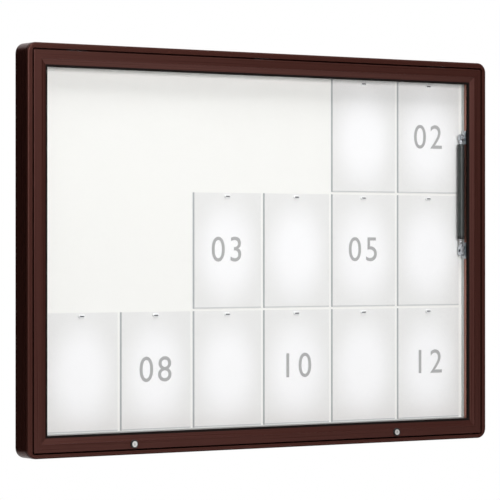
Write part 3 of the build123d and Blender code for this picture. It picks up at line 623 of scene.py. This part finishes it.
def pan_screw(top, out, length, settings):
    """A pan-head screw as points and faces, from the top of its head down its shank.

    Rings run from the head's middle to its edge, down its side, in to the shank and down to the tip; both
    ends are closed. The head's top falls with the square of the radius, and is lowered where a point lies
    inside either bar of the cross. soft is the width over which the cross's walls fall.
    """
    top_rings, soft = 22, 0.2 * MM
    out = np.array(out, float)
    first = np.array([0.0, 0, 1]) if abs(out[2]) < 0.5 else np.array([1.0, 0, 0])
    second = np.cross(out, first)
    radius, rise = settings.screw_head / 2, settings.screw_head_height
    radii = radius * np.concatenate([np.linspace(0.02, 0.86, top_rings), [0.95, 1.0, 1.0]])
    falls = rise * np.concatenate([0.25 * np.linspace(0, 1, top_rings) ** 2, [0.38, 0.6, 1.0]])
    shank = settings.screw_shank / 2
    radii = np.concatenate([radii, [shank, shank, shank * 0.3]])
    falls = np.concatenate([falls, [rise, length - shank * 0.5, length]])
    turn = np.linspace(0, 2 * np.pi, settings.screw_facets, endpoint=False)
    across, up = np.outer(radii, np.cos(turn)), np.outer(radii, np.sin(turn))
    narrow = np.clip((settings.recess_width / 2 - np.minimum(abs(across), abs(up))) / soft + 0.5, 0, 1)
    inside = np.clip((settings.recess_length / 2 - radii[:, None]) / soft + 0.5, 0, 1)
    inside[top_rings:] = 0
    down = falls[:, None] + settings.recess_depth * narrow * inside
    points = (top + across[..., None] * first + up[..., None] * second - down[..., None] * out).reshape(-1, 3)
    around = settings.screw_facets
    step = np.arange(len(radii) - 1)[:, None] * around + np.arange(around)
    beside = np.roll(step, -1, axis=1)
    faces = np.stack([step, step + around, beside + around, beside], axis=-1).reshape(-1, 4).tolist()
    last = (len(radii) - 1) * around
    return points, faces + [list(range(around)), list(range(last, last + around))[::-1]]


class CASE_OT_frame_finish(bpy.types.Operator):
    """Brown anodised finish on the case, the door and the glazing beads"""

    bl_idname = "display_case.frame_finish"
    bl_label = "Finish the frame"

    def execute(self, context):
        settings = context.scene.display_case_frame
        for along, sides, bar in (("X", LEVEL, "rail"), ("Z", SIDES, "stile")):
            case = brown_anodised(
                settings.case_brown, settings.die_line, along, "Dark brown", metallic=0.4, gloss=0.15)
            finish_nodes(case, [f"case_{side}_profile" for side in sides])
            door = brown_anodised(settings.brown, settings.die_line, along, "Brown")
            finish_nodes(door, [f"door_{side}_{bar}" for side in sides])
            # The beads take a lighter brown that paints in the reflection of the white board
            bead = brown_anodised(settings.bead_painted_reflection_brown, settings.die_line, along, "Light brown")
            finish_nodes(bead, [f"glazing_bead_{side}" for side in sides])
        return {"FINISHED"}


class CASE_OT_glazing_finish(bpy.types.Operator):
    """Glass, its gaskets and the door's seal"""

    bl_idname = "display_case.glazing_finish"
    bl_label = "Finish the glazing"

    def execute(self, context):
        finish_nodes(float_glass(), ["glass_pane"])
        finish_nodes(door_rubber(), ["glazing_gasket_front", "glazing_gasket_rear", "door_seal"])
        return {"FINISHED"}


class CASE_OT_gasket(bpy.types.Operator):
    """Front gasket: a strip behind the door's lip that laps over it and ends in a round bead on the glass"""

    bl_idname = "display_case.gasket"
    bl_label = "Fit the gasket"

    def execute(self, context):
        settings = context.scene.display_case_fittings
        low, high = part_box("glazing_gasket_front")
        lip_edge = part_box("glazing_bead_left")[1].x - low.x
        strip, wall, clear = high.y - low.y, settings.gasket_wall, 0.05 * MM
        lip_front = strip + LIP_THICKNESS + clear
        bevel_reach = settings.gasket_lap - LIP_WIDTH
        lap_end = lip_front + bevel_reach * BEVEL_SLOPE
        bead_steps = 9
        bend = np.linspace(0, 0.5 * np.pi, bead_steps)
        # Up the strip's edge, along it to the lip, round the lip to the lap's end, back and down the bead
        inward = np.concatenate([
            [0, 0, clear + lip_edge, clear + lip_edge],
            lip_edge - np.array([LIP_WIDTH, settings.gasket_lap, settings.gasket_lap, LIP_WIDTH]),
            lip_edge + settings.gasket_bead * np.sin(bend)])
        forward = np.concatenate([
            [0, strip, strip, lip_front, lip_front, lap_end, lap_end + 0.5 * wall, lip_front + wall],
            (lip_front + wall) * np.cos(bend)])
        points, faces = mitred_ring((low.x, high.x, low.z, high.z), high.y, inward, forward)
        piece = add_piece(
            "glazing_gasket_bead", points, faces, door_rubber(), "door", "black_rubber", smooth=False)
        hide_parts("glazing_gasket_front")
        return {"FINISHED"}


class CASE_OT_board_finish(bpy.types.Operator):
    """White enamelled board and its aluminium retainers"""

    bl_idname = "display_case.board_finish"
    bl_label = "Finish the board"

    def execute(self, context):
        finish_nodes(white_coat(context.scene.display_case_board), ["display_board"])
        retainers = [f"board_retainer_{side}" for side in (*LEVEL, *SIDES)]
        finish_nodes(natural_anodised(), retainers + ["case_corner_cleats", "door_corner_cleats"])
        return {"FINISHED"}


class CASE_OT_sheets(bpy.types.Operator):
    """Sheets in clear sleeves, each a little curled at its lower corners"""

    bl_idname = "display_case.sheets"
    bl_label = "Hang the sheets"

    def execute(self, context):
        settings = context.scene.display_case_board
        material = sleeved_paper(settings)
        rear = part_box("notice_sheets")[1].y
        draw = np.random.default_rng(7)
        rows, columns = 19, 13
        v, u = np.meshgrid(np.linspace(0, 1, rows), np.linspace(0, 1, columns), indexing="ij")
        for row, column, across, height in sheet_middles():
            curl = settings.sheet_curl * draw.uniform(0.4, 1.0)
            lift = sheet_lift(u, v, curl, draw.uniform(-0.6, 0.6))
            points = np.stack(
                [across + (u - 0.5) * SHEET_SIZE[0], rear - lift, height + (v - 0.5) * SHEET_SIZE[1]],
                axis=-1)
            name = f"sheet_row{row + 1}_column{column + 1}"
            faces = grid_faces(rows, columns)
            piece = add_piece(
                name, points.reshape(-1, 3), faces, material, "case", "white_sheet", smooth=False)
            layer = piece.data.uv_layers.new(name="sheet")
            shares = np.stack([u.ravel(), v.ravel()], axis=1)[faces.ravel()]
            layer.data.foreach_set("uv", shares.ravel())
            wall = piece.modifiers.new("thickness", "SOLIDIFY")
            wall.thickness = settings.sheet_thickness
            wall.offset = 1.0
            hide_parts("notice_sheets")
        return {"FINISHED"}


class CASE_OT_numbers(bpy.types.Operator):
    """Plain grey numbers printed on some of the sheets"""

    bl_idname = "display_case.numbers"
    bl_label = "Print the numbers"

    def execute(self, context):
        settings = context.scene.display_case_board
        material = print_ink(settings)
        rear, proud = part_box("notice_sheets")[1].y, 0.15 * MM
        front = rear - settings.sheet_thickness - settings.sheet_curl * 0.5 - proud
        upright = Matrix(((1, 0, 0), (0, 0, -1), (0, 1, 0))).to_4x4()
        for row, column, across, height in sheet_middles():
            if (row, column) not in NUMBERED_SHEETS:
                continue
            words = bpy.data.curves.new("number", "FONT")
            words.body = NUMBERED_SHEETS[row, column]
            words.align_x = "CENTER"
            words.align_y = "CENTER"
            words.size = settings.number_height / FIGURE_SHARE
            words.space_character = 1.2
            words.resolution_u = 6
            flat = bpy.data.objects.new("number", words)
            mesh = bpy.data.meshes.new_from_object(flat)
            bpy.data.objects.remove(flat)
            mesh.transform(Matrix.Translation((across, front, height)) @ upright)
            mesh.materials.clear()
            mesh.materials.append(material)
            piece = bpy.data.objects.new(f"number_row{row + 1}_column{column + 1}", mesh)
            context.scene.collection.objects.link(piece)
            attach(piece, "case")
        return {"FINISHED"}


class CASE_OT_fittings_finish(bpy.types.Operator):
    """Zinc-plated hinges, brackets and rails, the strut and the locks"""

    bl_idname = "display_case.fittings_finish"
    bl_label = "Finish the fittings"

    def execute(self, context):
        zinc = [
            "wall_rail_lower", "wall_rail_upper", "rail_screws", "retainer_screws", "hinge_pins",
            "hinge_case_screws", "hinge_door_screws", "door_bracket_screws", "case_bracket_screws",
            "lock_nuts", "strut_tube_eye", "strut_rod_eye", "strut_door_bracket", "strut_case_bracket",
        ]
        zinc += [f"hinge_{place}_{leaf}_leaf" for place in HINGES for leaf in ("case", "door")]
        zinc += [f"lock_{side}_cam" for side in SIDES]
        finish_nodes(zinc_plate(), zinc)
        finish_nodes(strut_paint(), ["strut_tube"])
        finish_nodes(hard_chrome(), ["strut_rod"])
        plug_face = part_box("lock_left_plug")[0].y
        finish_nodes(nickel_plate(plug_face), [f"lock_{side}_plug" for side in SIDES])
        finish_nodes(black_chromate(), [f"lock_{side}_housing" for side in SIDES])
        return {"FINISHED"}


class CASE_OT_screws(bpy.types.Operator):
    """Pan-head screws with a cross recess, in place of the plain ones"""

    bl_idname = "display_case.screws"
    bl_label = "Drive the screws"

    def execute(self, context):
        settings = context.scene.display_case_fittings
        # CAD node, its body, and for each group of screws the way from shank to head and the side of the case
        kinds = (
            ("retainer_screws", "case", [((0, -1, 0), 0)]),
            ("rail_screws", "case", [((-1, 0, 0), 1), ((1, 0, 0), -1)]),
            ("hinge_case_screws", "case", [((0, -1, 0), 0)]),
            ("hinge_door_screws", "door", [((0, 0, 1), 0)]),
            ("door_bracket_screws", "door", [((-1, 0, 0), 0)]),
            ("case_bracket_screws", "case", [((-1, 0, 0), 0)]),
        )
        for node, body, groups in kinds:
            points, faces = [], []
            for out, side in groups:
                for top, length in find_screws(node, out, side):
                    made, joined = pan_screw(top, out, length, settings)
                    start = sum(len(part) for part in points)
                    points.append(made)
                    faces += [[start + corner for corner in face] for face in joined]
            piece = add_piece(
                f"{node}_heads", np.concatenate(points), faces, zinc_plate(), body, "zinc_steel")
            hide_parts(node)
        return {"FINISHED"}


class CASE_OT_strut_cap(bpy.types.Operator):
    """Black plastic cap on the lower end of the strut's tube"""

    bl_idname = "display_case.strut_cap"
    bl_label = "Cap the strut"

    def execute(self, context):
        settings = context.scene.display_case_fittings
        low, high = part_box("strut_tube")
        middle = ((low.x + high.x) / 2, (low.y + high.y) / 2, low.z)
        tube, wall, top = (high.x - low.x) / 2, settings.cap_wall, settings.cap_length
        hole, bore, facets = tube / 2, tube - wall * 0.1, 48
        # Radius and height: under the tube's end, up the outside, over the rim and down inside
        outline = [
            (hole, -wall * 2), (tube + wall * 0.4, -wall * 2), (tube + wall, -wall),
            (tube + wall, top - wall), (tube + wall * 0.5, top), (bore, top),
            (bore, 0.1 * wall), (hole, 0.1 * wall),
        ]
        radii, heights = np.array(outline).T
        points, faces = lathe(radii, heights, facets, middle)
        add_piece("strut_cap", points, faces, black_nylon(), "strut_tube_body", "strut_tube")
        return {"FINISHED"}


class CASE_OT_magnets(bpy.types.Operator):
    """Domed oval magnets with a dark bar in the middle, one at the top of each sheet"""

    bl_idname = "display_case.magnets"
    bl_label = "Set the magnets"

    def execute(self, context):
        settings = context.scene.display_case_fittings
        low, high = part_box("sheet_magnets")
        cap_material, bar_material = white_abs(), ferrite()
        finish_nodes(cap_material, ["sheet_magnets"])
        length, width, thickness = settings.magnet_length, settings.magnet_width, high.y - low.y
        bar_length, bar_width = settings.magnet_bar_length, settings.magnet_bar_width
        # The bar stands as proud as the CAD magnet, and the cap around it a little less
        cap_rise = thickness * 0.8
        for row, column, across, height in sheet_middles():
            top = height + SHEET_SIZE[1] / 2 - settings.magnet_drop
            name = f"magnet_row{row + 1}_column{column + 1}"
            dome = oval_dome(length, width, cap_rise, (across, high.y, top))
            cap = add_piece(name, *dome, cap_material, "case", "magnet_cap")
            bar = oval_dome(bar_length, bar_width, thickness, (across, high.y, top))
            add_piece(f"{name}_bar", *bar, bar_material, "case", "magnet_cap")
            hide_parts("sheet_magnets")
        return {"FINISHED"}


def add_lamp(name, place, size, power):
    """A large rectangular lamp at a place, turned to the case's middle."""
    lamp = bpy.data.lights.new(name, "AREA")
    lamp.shape = "RECTANGLE"
    lamp.size, lamp.size_y = size
    lamp.energy = power
    made = bpy.data.objects.new(name, lamp)
    bpy.context.scene.collection.objects.link(made)
    made.location = place
    made.rotation_mode = "QUATERNION"
    made.rotation_quaternion = (-Vector(place)).to_track_quat("-Z", "Y")
    return made


def add_flag(name, middle, side, rise, glow=0.0):
    """A panel that only reflections see: a studio's black flag, or a white card when it has a glow.

    side and rise run from its middle to the middles of two of its edges.
    """
    centre, side, rise = Vector(middle), Vector(side), Vector(rise)
    corners = [centre - side - rise, centre + side - rise, centre + side + rise, centre - side + rise]
    mesh = bpy.data.meshes.new(name)
    mesh.from_pydata([tuple(corner) for corner in corners], [], [(0, 1, 2, 3)])
    material, tree, output = new_material("White card" if glow else "Black felt")
    if glow:
        show(tree, output, add_node(tree, "ShaderNodeEmission", {"Strength": glow}))
    else:
        show(tree, output, add_node(tree, "ShaderNodeBsdfDiffuse", {"Color": opaque(linear("#0A0A0A"))}))
    mesh.materials.append(material)
    panel = bpy.data.objects.new(name, mesh)
    bpy.context.scene.collection.objects.link(panel)
    panel.visible_camera = False
    panel.visible_diffuse = False
    panel.visible_shadow = False
    panel.visible_transmission = False
    return panel


class CASE_OT_stage(bpy.types.Operator):
    """Pale floor, white surroundings, soft lamps and the camera"""

    bl_idname = "display_case.stage"
    bl_label = "Set the stage"

    def execute(self, context):
        settings = context.scene.display_case_stage
        scene = context.scene
        scene.view_settings.view_transform = "Standard"
        self.floor(settings)
        self.surroundings(scene, settings)
        for name, (place, size, power) in LAMPS.items():
            lamp = add_lamp(name, place, size, getattr(settings, power))
            # The back lamp's mirror image would show on the case's top
            lamp.visible_glossy = name != "back_lamp"
        for name, panel in FLAGS.items():
            add_flag(name, *panel)
        add_flag("card_low", *CARD_LOW, settings.card_glow)
        camera = bpy.data.cameras.new("camera")
        camera.lens = settings.lens
        camera.sensor_width = SENSOR_WIDTH
        camera.clip_end = CLIP_END
        held = bpy.data.objects.new("camera", camera)
        scene.collection.objects.link(held)
        held.location = settings.camera_place
        # A level camera, turned about the upright
        held.rotation_euler = (np.radians(90), 0, -settings.camera_turn)
        scene.camera = held
        return {"FINISHED"}

    def floor(self, settings):
        """A round pale floor: a ring of points on a circle about the case."""
        turn = np.linspace(0, 2 * np.pi, FLOOR_SIDES, endpoint=False)
        points = np.stack(
            [settings.floor_radius * np.cos(turn), settings.floor_radius * np.sin(turn),
             np.full(turn.shape, settings.floor_height)], axis=1)
        mesh = bpy.data.meshes.new("floor")
        mesh.from_pydata(points.tolist(), [], [list(range(len(points)))])
        mesh.materials.append(self.floor_paint(settings))
        floor = bpy.data.objects.new("floor", mesh)
        bpy.context.scene.collection.objects.link(floor)

    def floor_paint(self, settings):
        """Pale matt floor that throws little light back up; to the eye it fades to white towards its edge."""
        material, tree, output = new_material("Pale matt floor")
        fade_reach = 0.8 * settings.floor_radius
        path = add_node(tree, "ShaderNodeLightPath")
        colour = add_node(
            tree, "ShaderNodeMix",
            {0: path.outputs["Is Diffuse Ray"], 6: opaque(linear("#F4F4F4")), 7: opaque(linear("#C8C8C8"))},
            data_type="RGBA")
        paint = add_node(
            tree, "ShaderNodeBsdfPrincipled",
            {"Base Color": colour.outputs[2], "Roughness": 0.8, "Specular IOR Level": 0.1})
        place = add_node(tree, "ShaderNodeTexCoord")
        level = add_node(
            tree, "ShaderNodeVectorMath", {0: place.outputs["Object"], 1: (1, 1, 0)}, operation="MULTIPLY")
        reach = add_node(tree, "ShaderNodeVectorMath", {0: level.outputs[0]}, operation="LENGTH")
        fade = add_node(
            tree, "ShaderNodeMapRange",
            {0: reach.outputs["Value"], 1: 0.0, 2: fade_reach, 3: settings.floor_glow, 4: 1.0})
        seen = add_node(
            tree, "ShaderNodeMath",
            {0: fade.outputs[0], 1: path.outputs["Is Camera Ray"]}, operation="MULTIPLY")
        white = add_node(tree, "ShaderNodeEmission", {"Strength": 1.0})
        show(tree, output, add_node(
            tree, "ShaderNodeMixShader", {0: seen.outputs[0], 1: paint.outputs[0], 2: white.outputs[0]}))
        return material

    def surroundings(self, scene, settings):
        """White to the eye, to mirrors and through glass, and a dim even light on everything else."""
        world = bpy.data.worlds.new("surroundings")
        world.use_nodes = True
        tree = world.node_tree
        tree.nodes.clear()
        path = add_node(tree, "ShaderNodeLightPath")
        seen = add_node(
            tree, "ShaderNodeMath",
            {0: path.outputs["Is Camera Ray"], 1: path.outputs["Is Glossy Ray"]}, operation="MAXIMUM")
        seen = add_node(
            tree, "ShaderNodeMath",
            {0: seen.outputs[0], 1: path.outputs["Is Transmission Ray"]}, operation="MAXIMUM")
        strength = add_node(
            tree, "ShaderNodeMapRange", {0: seen.outputs[0], 3: settings.ambient, 4: 1.0})
        light = add_node(
            tree, "ShaderNodeBackground", {"Color": (1, 1, 1, 1), "Strength": strength.outputs[0]})
        output = tree.nodes.new("ShaderNodeOutputWorld")
        tree.links.new(light.outputs[0], output.inputs["Surface"])
        scene.world = world


class CASE_PT_panel(bpy.types.Panel):
    """Lists the steps that dress the case"""

    bl_idname = "CASE_PT_panel"
    bl_label = "Display case"
    bl_space_type = "VIEW_3D"
    bl_region_type = "UI"
    bl_category = "Display case"

    def draw(self, context):
        for step in STEPS:
            self.layout.operator(step.bl_idname)


SETTINGS = {
    "display_case_frame": FrameSettings,
    "display_case_board": BoardSettings,
    "display_case_fittings": FittingSettings,
    "display_case_stage": StageSettings,
}
STEPS = (
    CASE_OT_frame_finish, CASE_OT_glazing_finish, CASE_OT_gasket, CASE_OT_board_finish,
    CASE_OT_fittings_finish, CASE_OT_screws, CASE_OT_strut_cap, CASE_OT_sheets, CASE_OT_numbers,
    CASE_OT_magnets, CASE_OT_stage,
)


def register():
    """Registers the settings, the steps and the panel."""
    for kind in (*SETTINGS.values(), *STEPS, CASE_PT_panel):
        bpy.utils.register_class(kind)
    for name, kind in SETTINGS.items():
        setattr(bpy.types.Scene, name, PointerProperty(type=kind))


def unregister():
    """Takes the settings, the steps and the panel out again."""
    for name in SETTINGS:
        delattr(bpy.types.Scene, name)
    for kind in reversed((*SETTINGS.values(), *STEPS, CASE_PT_panel)):
        bpy.utils.unregister_class(kind)


def main():
    """Runs every step in order."""
    register()
    for step in STEPS:
        group, name = step.bl_idname.split(".")
        getattr(getattr(bpy.ops, group), name)()


if __name__ == "__main__":
    main()
